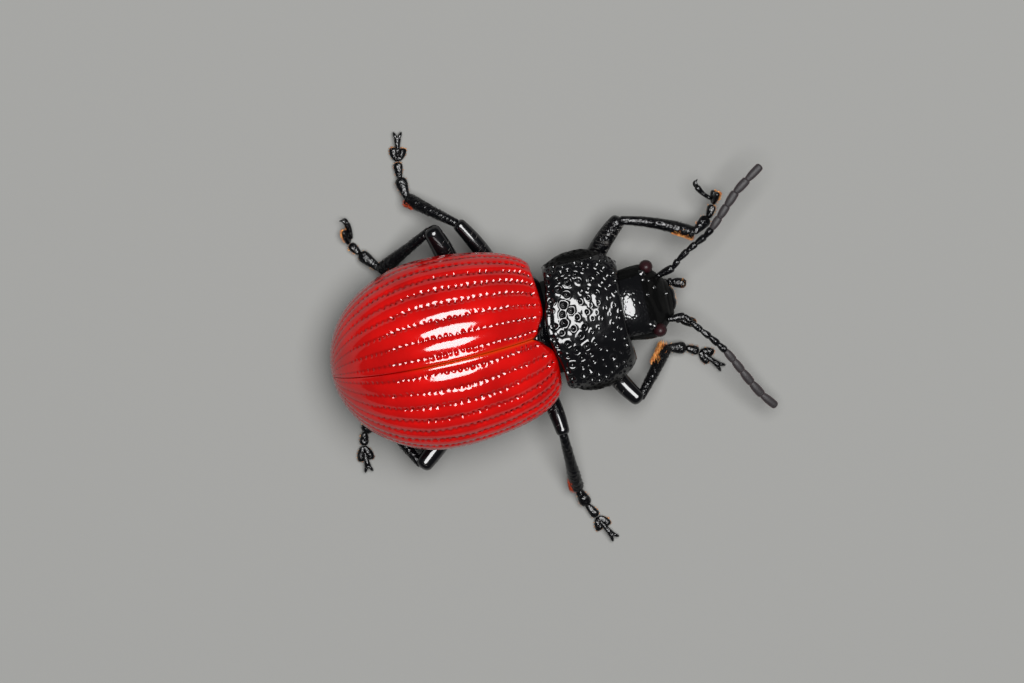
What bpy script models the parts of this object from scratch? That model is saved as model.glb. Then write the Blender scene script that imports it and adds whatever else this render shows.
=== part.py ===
"""A flightless leaf beetle at life size, walking, as a still museum model.

Pieces are shaped in millimetres: +X runs to the head, +Y to the beetle's left and
+Z up, with X = 0 at the front edge of the wing cases and the feet on Z = 0.
set_down() turns them to metres and puts the origin at the bottom centre of the box.
"""
from collections import namedtuple
from math import cos, exp, pi, radians, sin

import bmesh
import bpy
from mathutils import Matrix, Vector

MM = 0.001
GAP = 0.1                   # clear space between neighbouring pieces
UP = Vector((0, 0, 1))

# Wing cases, the two elytra: one dome, parted along the middle
ELYTRA_LENGTH = 9.28
ELYTRA_HALF_WIDTH = 3.98
WIDEST = 0.48               # share of the length where the dome is widest
DOME_TOP = 6.5
DOME_FRONT = 4.55           # crest height at the front edge
GIRTH = 3.2                 # height of the widest line round the dome
APEX_DROP = 0.7             # that line comes down by this much at the tail end
WRAP = radians(105)         # the arch passes 90 degrees, so its margin tucks under
SHELL = 0.5
BASE_BLUNT = 0.012          # the front end is cut blunt, so it starts with a width
BASE_SETBACK = 0.13         # how far the front edge is cut back at the shoulders,
BASE_LOBE = 0.06            # how much less beside the scutellum
BASE_NOTCH = 0.45           # and how much more in the middle, to make room for it
NOTCH_SPREAD = radians(14)
BASE_SKEW = 0.14            # the waist is bent a little: more on the left, less on the right
ROWS = 10                   # grooves along each wing case, where its pits stand in rows
GROOVE = 0.05

# Pronotum, with the rest of the first thorax ring below it
PRONOTUM_REAR = 0.2
REAR_FACE = 0.22            # where the ring ends, below its plate
REAR_LOBE = 0.42            # how far the plate reaches back over the waist in the middle
LOBE_MIDDLE = 0.15
LOBE_SPREAD_ACROSS = 1.25
LOBE_UNDERSIDE = 4.3
PRONOTUM_FRONT = 3.1
PRONOTUM_HALF_WIDTH = 2.95
PRONOTUM_CREST = 4.85
PRONOTUM_PEAK = 0.08        # share of its length, from the rear, where the crest is highest
PRONOTUM_RIM = 2.9
KEEL = 1.5                  # height of the underside along the middle

# Middle and hind thorax, then abdomen, under the wing cases
BODY_FRONT = 0.1
THORAX_END = -3.9
BODY_INSET = SHELL + GAP

# Head: it sits a little left of the body's middle, and tilts with its right side up
HEAD_TURN = 0.17
HEAD_TILT = radians(-15)
HEAD_AXIS = 2.7             # height of the line that it tilts about
HEAD_FULLNESS = 2.3
HEAD_SECTIONS = (           # place along, half width, top and bottom
    (2.35, 1.0, 3.45, 2.05),
    (2.6, 1.28, 3.72, 1.86),
    (3.0, 1.43, 3.94, 1.72),
    (3.45, 1.51, 3.99, 1.6),
    (3.9, 1.57, 3.86, 1.52),
    (4.3, 1.54, 3.66, 1.48),
    (4.65, 1.28, 3.3, 1.46),
    (4.95, 0.96, 2.92, 1.46),
    (5.2, 0.66, 2.5, 1.52),
)
EYE = (4.43, 1.36, 3.12)
EYE_RADII = Vector((0.29, 0.28, 0.42))
LABRUM = (5.14, 0, 2.0)
LABRUM_RADII = Vector((0.28, 0.54, 0.28))
JAW = ((5.0, 0.3, 1.5), (5.22, 0.26, 1.42), (5.37, 0.13, 1.42))
JAW_WIDTHS = (0.34, 0.32, 0.14)
PALP_ROOT = (4.98, 1.6)
PALPS = {"left": (0.81, 0.9, -0.3), "right": (-0.72, 0.93, -0.47)}
PALP_WIDTHS = (0.34, 0.4, 0.44)
ANTENNA_ROOT = (4.98, 0.95, 2.62)

# Legs: hip, knee and ankle places, and the headings of the foot's four joints
# A thigh bows towards the head by its pair's bow, and a shin bows upwards
Pair = namedtuple("Pair", "hip bow femur_width tibia_width toes")
PAIRS = {
    "front": Pair(Vector((1.6, 0.95, 1.25)), -0.2, 0.8, 0.52, (0.9, 0.62, 0.5, 0.85)),
    "middle": Pair(Vector((-1.3, 1.2, 1.15)), 0.18, 0.7, 0.54, (0.95, 0.7, 0.5, 0.85)),
    "hind": Pair(Vector((-3.4, 1.1, 1.15)), 0.24, 0.92, 0.56, (1.15, 0.6, 0.58, 0.7)),
}
TIBIA_BOW = 0.12
TIBIA_BEND = 0.15
COXA_RADII = Vector((0.45, 0.5, 0.6))
TROCHANTER_WIDTHS = (0.56, 0.54)
THIGH_START = 0.5           # width where the thigh leaves the hip
SHIN_KNEE = 0.5             # width of the shin from the knee to its middle
Leg = namedtuple("Leg", "knee ankle headings roll lift")
LEGS = {
    "front_left": Leg((3.78, 3.65, 2.1), (6.72, 2.38, 1.7), (32, 60, 66, 126), -70, 1.0),
    "front_right": Leg((3.01, -3.87, 2.15), (4.58, -2.23, 0.62), (-16, -30, -42, -50), 0, 0),
    "middle_left": Leg((-2.78, 4.92, 1.7), (-4.63, 6.3, 0.62), (97, 84, 74, 78), 0, 0),
    "middle_right": Leg((-0.43, -4.5, 2.5), (-0.34, -7.2, 0.62), (-73, -62, -72, -62), 0, 0),
    "hind_left": Leg((-3.96, 5.0, 2.2), (-6.35, 3.63, 0.62), (131, 124, 86, 95), 65, 0),
    "hind_right": Leg((-6.47, -4.63, 1.9), (-7.86, -2.1, 0.62), (-127, -107, -90, -90), 0, 0),
}

# The foot: two narrow joints, a wide two-lobed one, and a slender one with two claws
TOE_HEIGHTS = (0.3, 0.24, 0.15, 0.3)
TOE_WIDTHS = ((0.36, 0.42, 0.46), (0.32, 0.48), (0.26, 0.36, 0.36), (0.26, 0.28, 0.34))
TOE_FLATNESS = (0.85, 0.8, 0.8, 1)
LOBE_SPREAD = (0, 0.15, 0.2)
CLAW_WIDTHS = (0.2, 0.15, 0.06)
CLAW_REACH = ((0, 0, 0), (0.22, 0.14, 0), (0.36, 0.2, -0.16))   # ahead, out and up

# Feelers: eleven joints each, as lengths and the heading of every joint
FEELER_LENGTHS = (0.72, 0.38, 0.56, 0.46, 0.48, 0.44, 0.55, 0.58, 0.67, 0.7, 0.8)
FEELER_WIDTH = 0.5
FEELER_WAIST = 0.38
FEELERS = {
    "left": ((17, 46, 34, 28, 27, 37, 44, 45, 45, 34, 33), (2.44, 3.2, 2.75)),
    "right": ((-2, -58, -52, -51, -54, -56, -63, -65, -65, -62, -53), (2.8, 2.4, 1.35)),
}

COLOURS = {
    "elytra": ((0.58, 0.006, 0.004, 1), 0.16),
    "black": ((0.006, 0.006, 0.007, 1), 0.2),
    "eye": ((0.045, 0.008, 0.009, 1), 0.25),
}


def clear_scene():
    for old in list(bpy.data.objects):
        bpy.data.objects.remove(old, do_unlink=True)


def cuticle(kind):
    """The glossy skin of the beetle in one of its colours."""
    material = bpy.data.materials.get(kind)
    if material is None:
        material = bpy.data.materials.new(kind)
        material.use_nodes = True
        shader = material.node_tree.nodes["Principled BSDF"]
        colour, roughness = COLOURS[kind]
        shader.inputs["Base Color"].default_value = colour
        shader.inputs["Roughness"].default_value = roughness
        shader.inputs["Metallic"].default_value = 0
    return material


def to_object(name, bm):
    bmesh.ops.recalc_face_normals(bm, faces=bm.faces)
    mesh = bpy.data.meshes.new(name)
    bm.to_mesh(mesh)
    bm.free()
    piece = bpy.data.objects.new(name, mesh)
    bpy.context.scene.collection.objects.link(piece)
    return piece


def bake(piece):
    """Apply the modifiers and keep the largest closed surface that they leave."""
    bpy.context.view_layer.update()
    graph = bpy.context.evaluated_depsgraph_get()
    mesh = bpy.data.meshes.new_from_object(piece.evaluated_get(graph))
    piece.modifiers.clear()
    piece.data = mesh
    bm = bmesh.new()
    bm.from_mesh(mesh)
    waiting = set(bm.faces)
    islands = []
    while waiting:
        island = [waiting.pop()]
        for face in island:
            near = {other for edge in face.edges for other in edge.link_faces} & waiting
            waiting -= near
            island.extend(near)
        islands.append(island)
    islands.sort(key=len)
    for island in islands[:-1]:
        bmesh.ops.delete(bm, geom=island, context="FACES")
    bm.to_mesh(mesh)
    bm.free()
    return piece


def discard(*pieces):
    for piece in pieces:
        bpy.data.objects.remove(piece, do_unlink=True)


def carve(piece, *cutters, solver="EXACT"):
    """Take the cutters' shapes out of the piece, and remove them."""
    for cutter in cutters:
        cut = piece.modifiers.new("cut", "BOOLEAN")
        cut.operation = "DIFFERENCE"
        cut.solver = solver
        cut.object = cutter
    bake(piece)
    discard(*cutters)
    return piece


def fuse(name, pieces):
    """Join closed pieces into one closed body."""
    body, *others = pieces
    group = bpy.data.collections.new(name)
    for other in others:
        group.objects.link(other)
    union = body.modifiers.new("union", "BOOLEAN")
    union.operation = "UNION"
    union.solver = "MANIFOLD"
    union.operand_type = "COLLECTION"
    union.collection = group
    bake(body)
    discard(*others)
    bpy.data.collections.remove(group)
    body.name = name
    return body


def oval(centre, across, rise, half_width, half_height, sides, fullness=2.0):
    """A closed ring; fullness above 2 makes its shoulders squarer."""
    ring = []
    for i in range(sides):
        turn = 2 * pi * (i + 0.5) / sides
        reach = (abs(cos(turn)) ** fullness + abs(sin(turn)) ** fullness) ** (-1 / fullness)
        out = across * (half_width * reach * cos(turn))
        ring.append(centre + out + rise * (half_height * reach * sin(turn)))
    return ring


def loft(name, rings):
    """A closed skin through rings of equal count, flat at both ends."""
    bm = bmesh.new()
    loops = [[bm.verts.new(point) for point in ring] for ring in rings]
    for here, there in zip(loops, loops[1:]):
        for i in range(len(here)):
            j = (i + 1) % len(here)
            bm.faces.new((here[i], here[j], there[j], there[i]))
    bm.faces.new(loops[0])
    bm.faces.new(loops[-1])
    return to_object(name, bm)


def limb(name, points, widths, flat=1.0, up=UP, sides=10, round_start=False, round_end=True, grow=0.0):
    """A rounded bar along the points; flat is its height over its width."""
    rings = []
    last = len(points) - 1
    for i, point in enumerate(points):
        ahead = (points[min(i + 1, last)] - points[max(i - 1, 0)]).normalized()
        across = up.cross(ahead).normalized()
        rise = ahead.cross(across)
        half = widths[i] / 2 + grow
        steps = ((0, 1),)
        if i == 0 and round_start:
            steps = ((-0.95, 0.31), (-0.71, 0.71), (0, 1))
        elif i == 0 and grow:
            steps = ((-grow / half, 1),)
        elif i == last and round_end:
            steps = ((0, 1), (0.71, 0.71), (0.95, 0.31))
        for along, scale in steps:
            centre = point + ahead * (half * along)
            rings.append(oval(centre, across, rise, half * scale, half * flat * scale, sides))
    return loft(name, rings)


def mix(start, end, share):
    return start + (end - start) * share


def ball(name, centre, radii, grow=0.0, segments=16, rings=10):
    bm = bmesh.new()
    bmesh.ops.create_uvsphere(bm, u_segments=segments, v_segments=rings, radius=1)
    size = radii + Vector((grow, grow, grow))
    bmesh.ops.scale(bm, vec=size, verts=bm.verts)
    bmesh.ops.translate(bm, vec=centre, verts=bm.verts)
    return to_object(name, bm)


def block(name, low, high):
    bm = bmesh.new()
    bmesh.ops.create_cube(bm, size=1)
    bmesh.ops.scale(bm, vec=high - low, verts=bm.verts)
    bmesh.ops.translate(bm, vec=(low + high) / 2, verts=bm.verts)
    return to_object(name, bm)


# The dome of the wing cases, as sections across the body at a share s of its length

def dome_half_width(s):
    if s < WIDEST:
        return ELYTRA_HALF_WIDTH * (1 - ((WIDEST - s) / (WIDEST + BASE_BLUNT)) ** 1.6) ** (1 / 6)
    return ELYTRA_HALF_WIDTH * max(0, 1 - ((s - WIDEST) / (1 - WIDEST)) ** 2.1) ** 0.5


def dome_girth(s):
    return GIRTH - APEX_DROP * max(0, (s - WIDEST) / (1 - WIDEST)) ** 2


def dome_rise(s):
    rise = DOME_TOP - GIRTH
    if s < 0.5:
        return rise - (DOME_TOP - DOME_FRONT) * ((0.5 - s) / 0.5) ** 2.3
    return rise * max(0, 1 - ((s - 0.5) / 0.5) ** 2.2) ** 0.5


def dome_point(s, angle, inset):
    half_width, rise = dome_half_width(s) - inset, dome_rise(s) - inset
    return Vector((-ELYTRA_LENGTH * s, half_width * sin(angle), dome_girth(s) + rise * cos(angle)))


def base_cut(angle):
    """The share of the dome's length that is cut off in front, at an angle across it."""
    back = BASE_SETBACK + BASE_NOTCH * exp(-(angle / NOTCH_SPREAD) ** 2) + BASE_SKEW * sin(angle)
    return (back - BASE_LOBE * sin(min(pi, abs(angle) * pi / radians(68)))) / ELYTRA_LENGTH


def arch(s, inset, steps, groove=0.0):
    """Points over the dome from its right margin to its left, each second one in a groove."""
    points = []
    for i in range(steps + 1):
        angle = WRAP * (2 * i / steps - 1)
        share = s + (1 - s) * base_cut(angle)
        points.append(dome_point(share, angle, inset + (groove if i % 2 else 0)))
    return points


def spaced(count, end):
    """Shares of the length from 0 to end, closer together towards both ends."""
    return [end * (0.5 - 0.5 * cos(pi * i / count)) for i in range(count + 1)]


def make_elytra():
    outer_rings = []
    for s in spaced(18, 0.996):
        fade = min(1, 12 * s, 8 * (1 - s))
        outer_rings.append(arch(s, 0, 4 * ROWS, GROOVE * fade))
    inner_rings = []
    for s in spaced(12, 1 - SHELL / ELYTRA_LENGTH):
        ring = arch(s, SHELL, 20)
        foot = Vector((ring[0].x, 0, -1))
        side = Vector((0, ring[-1].y, 0))
        inner_rings.append(ring + [foot + side, foot - side])
    forward = Vector((1, 0, 0))
    inner_rings.insert(0, [point + forward for point in inner_rings[0]])
    shell = carve(loft("shell", outer_rings), loft("hollow", inner_rings), scutellum("notch", GAP))
    halves = []
    for name, side in (("elytron_left", 1), ("elytron_right", -1)):
        half = shell.copy()
        half.data = shell.data.copy()
        bpy.context.scene.collection.objects.link(half)
        half.name = name
        edge = side * GAP / 2
        low = Vector((-20, min(edge, -side * 20), -20))
        high = Vector((20, max(edge, -side * 20), 20))
        halves.append(carve(half, block("other_half", low, high)))
    discard(shell)
    return halves


def scutellum(name, grow=0.0):
    """The small triangular shield between the bases of the wing cases."""
    tip, front, half_width, depth = -0.8, -0.31, 0.36, 0.42
    base, side = front + grow, half_width + 2 * grow
    corners = ((base, side), (base, -side), (tip - 2 * grow, 0))
    rings = []
    for lift in (-depth - grow, 0.06 + 20 * grow):
        ring = []
        for x, y in corners:
            level = dome_girth(0) + dome_rise(max(0, -x) / ELYTRA_LENGTH)
            ring.append(Vector((x, y, level + lift)))
        rings.append(ring)
    return loft(name, rings)


def body_ring(points, keel, power, steps):
    """Close an arch below with a belly that hangs from its margins to the keel."""
    margin = points[-1]
    ring = list(points)
    for i in range(1, steps):
        y = margin.y * (1 - 2 * i / steps)
        z = keel + (margin.z - keel) * (abs(y) / margin.y) ** power
        ring.append(Vector((margin.x, y, z)))
    return ring


def body_section(s):
    points = [dome_point(s, WRAP * (i / 10 - 1), BODY_INSET) for i in range(21)]
    taper = max(0, (s - 0.6) / 0.4)
    return body_ring(points, KEEL + 0.7 * taper ** 2, 1.8, 12)


def make_body():
    """Middle and hind thorax in one piece, then the abdomen."""
    thorax_share = -THORAX_END / ELYTRA_LENGTH
    gap_share = GAP / ELYTRA_LENGTH
    end_share = 1 - BODY_INSET / ELYTRA_LENGTH
    front = [point + Vector((BODY_FRONT, 0, 0)) for point in body_section(0)]
    thorax_rings = [front] + [body_section(thorax_share * i / 7) for i in range(1, 8)]
    start = thorax_share + gap_share
    abdomen_rings = [body_section(start + (end_share - start) * sin(pi / 2 * i / 8)) for i in range(9)]
    thorax = loft("hind_thorax", thorax_rings)
    legs = [name for name in LEGS if not name.startswith("front")]
    carve(thorax, *[femur(name, GAP) for name in legs])
    stubs = [stub for name in legs for stub in hip_stub(name)]
    thorax = carve(fuse("hind_thorax", [thorax] + stubs), scutellum("seat", GAP))
    thorax.name = "hind_thorax"
    abdomen = carve(loft("abdomen", abdomen_rings), *[femur(name, GAP) for name in legs if "hind" in name])
    return [thorax, abdomen]


def pronotum_ring(share):
    """A section of the first thorax ring, from its rear edge, 0, to its front, 1."""
    x = mix(PRONOTUM_REAR, PRONOTUM_FRONT, share)
    if share < 0.45:
        half_width = PRONOTUM_HALF_WIDTH * (1 - 0.13 * ((0.45 - share) / 0.45) ** 2.2)
    else:
        half_width = PRONOTUM_HALF_WIDTH * (1 - 0.28 * ((share - 0.45) / 0.55) ** 2.2)
    if share < PRONOTUM_PEAK:
        crest = PRONOTUM_CREST - 0.12 * ((PRONOTUM_PEAK - share) / PRONOTUM_PEAK) ** 2
    else:
        crest = PRONOTUM_CREST - 0.65 * ((share - PRONOTUM_PEAK) / (1 - PRONOTUM_PEAK)) ** 1.4
    rim = PRONOTUM_RIM - 0.15 * share
    steps = 20
    points = []
    for i in range(steps + 1):
        angle = pi / 2 * (2 * i / steps - 1)
        bend = 0.16 * (abs(sin(angle)) ** 2) * share
        z = rim + (crest - rim) * cos(angle) ** 0.85
        y = half_width * sin(angle)
        back = REAR_LOBE * exp(-((y - LOBE_MIDDLE) / LOBE_SPREAD_ACROSS) ** 2) * (1 - share) ** 3
        points.append(Vector((x + bend - back, y, z)))
    return body_ring(points, KEEL, 1.25, 12)


def make_prothorax():
    shares = (0, 0.04, 0.14, 0.28, 0.42, 0.56, 0.7, 0.84, 0.95, 1)
    rings = [pronotum_ring(share) for share in shares]
    body = loft("prothorax", rings)
    legs = [name for name in LEGS if name.startswith("front")]
    below_lobe = block("below_lobe", Vector((-2, -5, 0)), Vector((REAR_FACE, 5, LOBE_UNDERSIDE)))
    carve(body, below_lobe, *[femur(name, GAP) for name in legs])
    stubs = [stub for name in legs for stub in hip_stub(name)]
    body = fuse("prothorax", [body] + stubs)
    carve(body, make_head_block("head_room", GAP))
    body.name = "prothorax"
    return body


def on_head(x, y, z):
    """A place given on a level head in the middle, once the head is turned and tilted."""
    rise = z - HEAD_AXIS
    across = HEAD_TURN + y * cos(HEAD_TILT) - rise * sin(HEAD_TILT)
    return Vector((x, across, HEAD_AXIS + y * sin(HEAD_TILT) + rise * cos(HEAD_TILT)))


def make_head_block(name, grow=0.0):
    """The head capsule: a round nape in the thorax, a sloping brow and a blunt face."""
    across = Vector((0, cos(HEAD_TILT), sin(HEAD_TILT)))
    rise = Vector((0, -sin(HEAD_TILT), cos(HEAD_TILT)))
    rings = []
    for x, half_width, top, bottom in HEAD_SECTIONS:
        centre = on_head(x, 0, (top + bottom) / 2)
        if not rings:
            centre.x -= grow
        half_height = (top - bottom) / 2 + grow
        rings.append(oval(centre, across, rise, half_width + grow, half_height, 24, HEAD_FULLNESS))
    return loft(name, rings)


def make_head():
    head = make_head_block("head")
    eyes = []
    sockets = []
    x, y, z = EYE
    for name, side in (("eye_left", 1), ("eye_right", -1)):
        centre = on_head(x, side * y, z)
        eyes.append(ball(name, centre, EYE_RADII))
        sockets.append(ball("socket", centre, EYE_RADII, GAP / 2))
    carve(head, *sockets)
    lip = on_head(*LABRUM)
    labrum = carve(ball("labrum", lip, LABRUM_RADII), make_head_block("brow", GAP / 2))
    jaws = []
    for name, side in (("mandible_left", 1), ("mandible_right", -1)):
        path = [on_head(x, side * y, z) for x, y, z in JAW]
        jaw = limb(name, path, JAW_WIDTHS, sides=8)
        lip_room = ball("lip", lip, LABRUM_RADII, GAP / 2)
        jaws.append(carve(jaw, make_head_block("cheek", GAP / 2), lip_room))
    palps = []
    x, z = PALP_ROOT
    for side_name, (y, ahead, spread) in PALPS.items():
        root = on_head(x, y, z)
        path = [root + Vector((ahead * share, spread * share, 0)) for share in (0, 0.5, 1)]
        palp = limb(f"palp_{side_name}", path, PALP_WIDTHS, sides=8)
        palps.append(carve(palp, make_head_block("throat", GAP / 2)))
    return [head] + eyes + [labrum] + jaws + palps


def heading(angle, pitch=0.0):
    angle = radians(angle)
    return Vector((cos(angle) * cos(pitch), sin(angle) * cos(pitch), sin(pitch)))


def make_feeler(side_name):
    """Eleven beads on a bent stalk, the last five wider."""
    headings, (root_z, mid_z, tip_z) = FEELERS[side_name]
    side = 1 if side_name == "left" else -1
    x, y, z = ANTENNA_ROOT
    joint = on_head(x, side * y, z)
    whole = sum(FEELER_LENGTHS)
    gone = 0.0
    points = []
    widths = []
    for i, (length, angle) in enumerate(zip(FEELER_LENGTHS, headings)):
        club = 1.12 if i > 5 else 1.0
        for share, width in ((0.0, FEELER_WAIST), (0.35, FEELER_WIDTH), (0.8, FEELER_WIDTH)):
            place = joint + heading(angle) * (length * share)
            travel = (gone + length * share) / whole
            place.z = root_z * (1 - travel) ** 2 + tip_z * travel ** 2
            place.z += 2 * mid_z * travel * (1 - travel)
            points.append(place)
            widths.append(width * club)
        joint = joint + heading(angle) * length
        gone += length
    name = f"antenna_{side_name}"
    return carve(limb(name, points, widths, sides=8), make_head_block("temple", GAP / 2))


def side_of(name):
    return 1 if name.endswith("left") else -1


def hip_of(name):
    hip = PAIRS[name.split("_")[0]].hip.copy()
    hip.y *= side_of(name)
    return hip


def hip_stub(name):
    """The coxa, a knob on the underside, and the peg on it whose end faces the thigh."""
    hip = hip_of(name)
    ahead = (Vector(LEGS[name].knee) - hip).normalized()
    knob = ball("coxa", hip - ahead * 0.55 + UP * 0.3, COXA_RADII, segments=12, rings=8)
    path = [hip - ahead * 0.5, hip - ahead * (GAP / 2)]
    peg = limb("trochanter", path, TROCHANTER_WIDTHS, round_end=False)
    return [knob, peg]


def femur(name, grow=0.0):
    pair = PAIRS[name.split("_")[0]]
    hip, knee = hip_of(name), Vector(LEGS[name].knee)
    ahead = (knee - hip).normalized()
    start = hip + ahead * (GAP / 2)
    swell = pair.femur_width
    widths = [THIGH_START, swell * 0.85, swell, swell * 0.96, swell * 0.8]
    end = knee - ahead * widths[-1] * 0.2
    bow = Vector((abs(ahead.y), -ahead.x * side_of(name), 0)).normalized() * pair.bow
    points = []
    for share in (0, 0.2, 0.5, 0.8, 1):
        points.append(mix(start, end, share) + bow * (4 * share * (1 - share)))
    return limb(f"femur_{name}", points, widths, grow=grow)


def tibia(name, grow=0.0):
    knee, ankle = Vector(LEGS[name].knee), Vector(LEGS[name].ankle)
    end_width = PAIRS[name.split("_")[0]].tibia_width
    out = ankle - knee
    bow = out.cross(UP).cross(out).normalized() * TIBIA_BOW
    if name == "front_left":
        bow -= out.cross(UP).normalized() * TIBIA_BEND
    points = []
    for share in (0, 0.2, 0.5, 0.8, 1):
        points.append(mix(knee, ankle, share) + bow * (4 * share * (1 - share)))
    widths = [SHIN_KNEE, SHIN_KNEE, SHIN_KNEE, end_width, end_width * 1.05]
    return limb(f"tibia_{name}", points, widths, round_end=False, grow=grow)


def foot_joints(name):
    """Where the foot's four joints end, and the way up of each."""
    leg = LEGS[name]
    lengths = PAIRS[name.split("_")[0]].toes
    place = Vector(leg.ankle)
    joints = []
    rolls = (0, 0.35, 1, 1)
    for i, (length, angle) in enumerate(zip(lengths, leg.headings)):
        ahead = heading(angle)
        roll = radians(leg.roll * rolls[i])
        up = UP * cos(roll) + ahead.cross(UP) * sin(roll)
        start = place.copy()
        end = place + ahead * length
        end.z = TOE_HEIGHTS[i] + leg.lift + abs(sin(roll)) * (0.22 if i > 1 else 0)
        joints.append((start, end, up, ahead))
        place = end
        if i == 2:
            place = mix(start, end, 0.35) + up * 0.16
    return joints


def toe(i, points, up):
    return limb("toe", points, TOE_WIDTHS[i], TOE_FLATNESS[i], up, 8, round_start=True)


def make_foot(name):
    first, second, third, claw = foot_joints(name)
    start, end, up, ahead = first
    pieces = [toe(0, [start, mix(start, end, 0.45), mix(start, end, 0.85)], up)]
    start, end, up, ahead = second
    pieces.append(toe(1, [start - ahead * 0.08, mix(start, end, 0.8)], up))
    start, end, up, ahead = third
    across = up.cross(ahead).normalized()
    line = (start - ahead * 0.06, mix(start, end, 0.4), mix(start, end, 0.8))
    for side in (-1, 1):
        lobe = [point + across * (side * spread) for point, spread in zip(line, LOBE_SPREAD)]
        pieces.append(toe(2, lobe, up))
    start, end, up, ahead = claw
    across = up.cross(ahead).normalized()
    root = mix(start, end, 0.85)
    pieces.append(toe(3, [start - ahead * 0.05, mix(start, end, 0.5) + up * 0.05, root], up))
    for side in (-1, 1):
        hook = [root + ahead * far + across * (side * out) + up * rise for far, out, rise in CLAW_REACH]
        pieces.append(limb("claw", hook, CLAW_WIDTHS, 1, up, 6, round_start=True, round_end=False))
    foot = fuse(f"tarsus_{name}", pieces)
    cutters = [tibia(name, GAP)]
    if LEGS[name].lift == 0:
        cutters.append(block("floor", Vector((-30, -30, -5)), Vector((30, 30, 0))))
    return carve(foot, *cutters, solver="MANIFOLD")


def make_leg(name):
    thigh = femur(name)
    shin = carve(tibia(name), femur(name, GAP))
    return [thigh, shin, make_foot(name)]


def kind_of(name):
    if name.startswith("elytron"):
        return "elytra"
    return "eye" if name.startswith("eye") else "black"


def set_down(pieces):
    """Millimetres to metres, with the origin at the bottom centre of the whole."""
    corners = [vertex.co for piece in pieces for vertex in piece.data.vertices]
    low = Vector([min(corner[i] for corner in corners) for i in range(3)])
    high = Vector([max(corner[i] for corner in corners) for i in range(3)])
    middle = (low + high) / 2
    beetle = bpy.data.objects.new("beetle", None)
    bpy.context.scene.collection.objects.link(beetle)
    beetle.location = Vector((-middle.x, -middle.y, -low.z)) * MM
    parts = bpy.data.collections.new("leaf beetle")
    bpy.context.scene.collection.children.link(parts)
    for piece in pieces:
        box = [Vector(corner) for corner in piece.bound_box]
        origin = (box[0] + box[6]) / 2
        piece.data.transform(Matrix.Translation(-origin))
        piece.data.transform(Matrix.Scale(MM, 4))
        piece.location = origin * MM
        piece.parent = beetle
        piece.data.materials.clear()
        piece.data.materials.append(cuticle(kind_of(piece.name)))
        piece.data.shade_smooth()
        piece.data.set_sharp_from_angle(angle=radians(40))
        for home in list(piece.users_collection):
            home.objects.unlink(piece)
        parts.objects.link(piece)


def build():
    clear_scene()
    pieces = make_elytra()
    pieces.append(scutellum("scutellum"))
    pieces.extend(make_body())
    pieces.append(make_prothorax())
    pieces.extend(make_head())
    pieces.extend(make_feeler(side) for side in FEELERS)
    for name in LEGS:
        pieces.extend(make_leg(name))
    set_down(pieces)


build()
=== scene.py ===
"""A leaf beetle at life size, caught walking: the finished surfaces over its solids.

Shapes are worked out in millimetres: +X runs to the head, +Y to the beetle's left and
+Z up, with X = 0 at the front edge of the wing cases and the feet on Z = 0. Each piece
is turned to metres and moved to its place on the solids as it is set down.
"""
from bisect import bisect
from collections import namedtuple
from math import atan2, cos, exp, pi, radians, sin, sqrt
from random import Random

import bmesh
import bpy
from mathutils import Matrix, Vector, noise
from mathutils.kdtree import KDTree


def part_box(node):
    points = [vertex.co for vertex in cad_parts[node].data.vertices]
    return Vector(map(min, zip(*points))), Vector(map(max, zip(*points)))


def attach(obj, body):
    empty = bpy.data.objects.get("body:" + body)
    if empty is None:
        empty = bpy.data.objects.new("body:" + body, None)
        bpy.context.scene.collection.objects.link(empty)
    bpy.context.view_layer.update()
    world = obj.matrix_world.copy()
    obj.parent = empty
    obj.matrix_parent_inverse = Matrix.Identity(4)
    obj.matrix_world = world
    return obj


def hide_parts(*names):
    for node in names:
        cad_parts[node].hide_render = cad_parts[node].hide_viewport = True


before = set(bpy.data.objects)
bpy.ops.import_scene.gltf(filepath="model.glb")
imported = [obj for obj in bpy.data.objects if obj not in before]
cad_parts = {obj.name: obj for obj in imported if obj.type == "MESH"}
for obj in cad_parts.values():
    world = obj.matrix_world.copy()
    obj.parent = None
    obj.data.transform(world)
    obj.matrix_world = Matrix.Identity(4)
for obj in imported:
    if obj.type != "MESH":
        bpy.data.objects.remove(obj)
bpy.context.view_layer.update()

# The table: matt card in mid grey, lit by one wide softbox almost overhead and by the
# weak light of the room. The long lens looks down on the beetle, a little from its left.
MM = 0.001
SCUTELLUM_FRONT = -0.31
shield_low, shield_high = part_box("scutellum")
HOME = Vector((shield_high.x - SCUTELLUM_FRONT * MM, (shield_low.y + shield_high.y) / 2, 0))
CAMERA_PLACE = Vector((-1.664, 36.012, 260.694))
CAMERA_LEAN = radians(8)
CAMERA_ROLL = radians(12.7)
CAMERA_LENS = 220.3
SOFTBOX_WAY = Vector((0.11, 0.14, 0.98))
SOFTBOX_DISTANCE = 400
SOFTBOX_SIZE = (0.29, 0.32)
SOFTBOX_WATTS = 4.4
ROOM_STRENGTH = 0.1
FLOOR_HALF = 1.2
CARD_GRAIN = 1.11           # pitch of the card's felted fibres


def colour(code):
    """A hex sRGB colour as linear numbers."""
    channels = [int(code[i:i + 2], 16) / 255 for i in (1, 3, 5)]
    return (*[c / 12.92 if c <= 0.04045 else ((c + 0.055) / 1.055) ** 2.4 for c in channels], 1)


def add_node(material, kind, inputs=(), **settings):
    """Add a node; each input is given a value, or is linked where an output is given."""
    added = material.node_tree.nodes.new(kind)
    for name, value in settings.items():
        setattr(added, name, value)
    for name, value in dict(inputs).items():
        if isinstance(value, bpy.types.NodeSocket):
            material.node_tree.links.new(value, added.inputs[name])
        else:
            added.inputs[name].default_value = value
    return added


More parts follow.
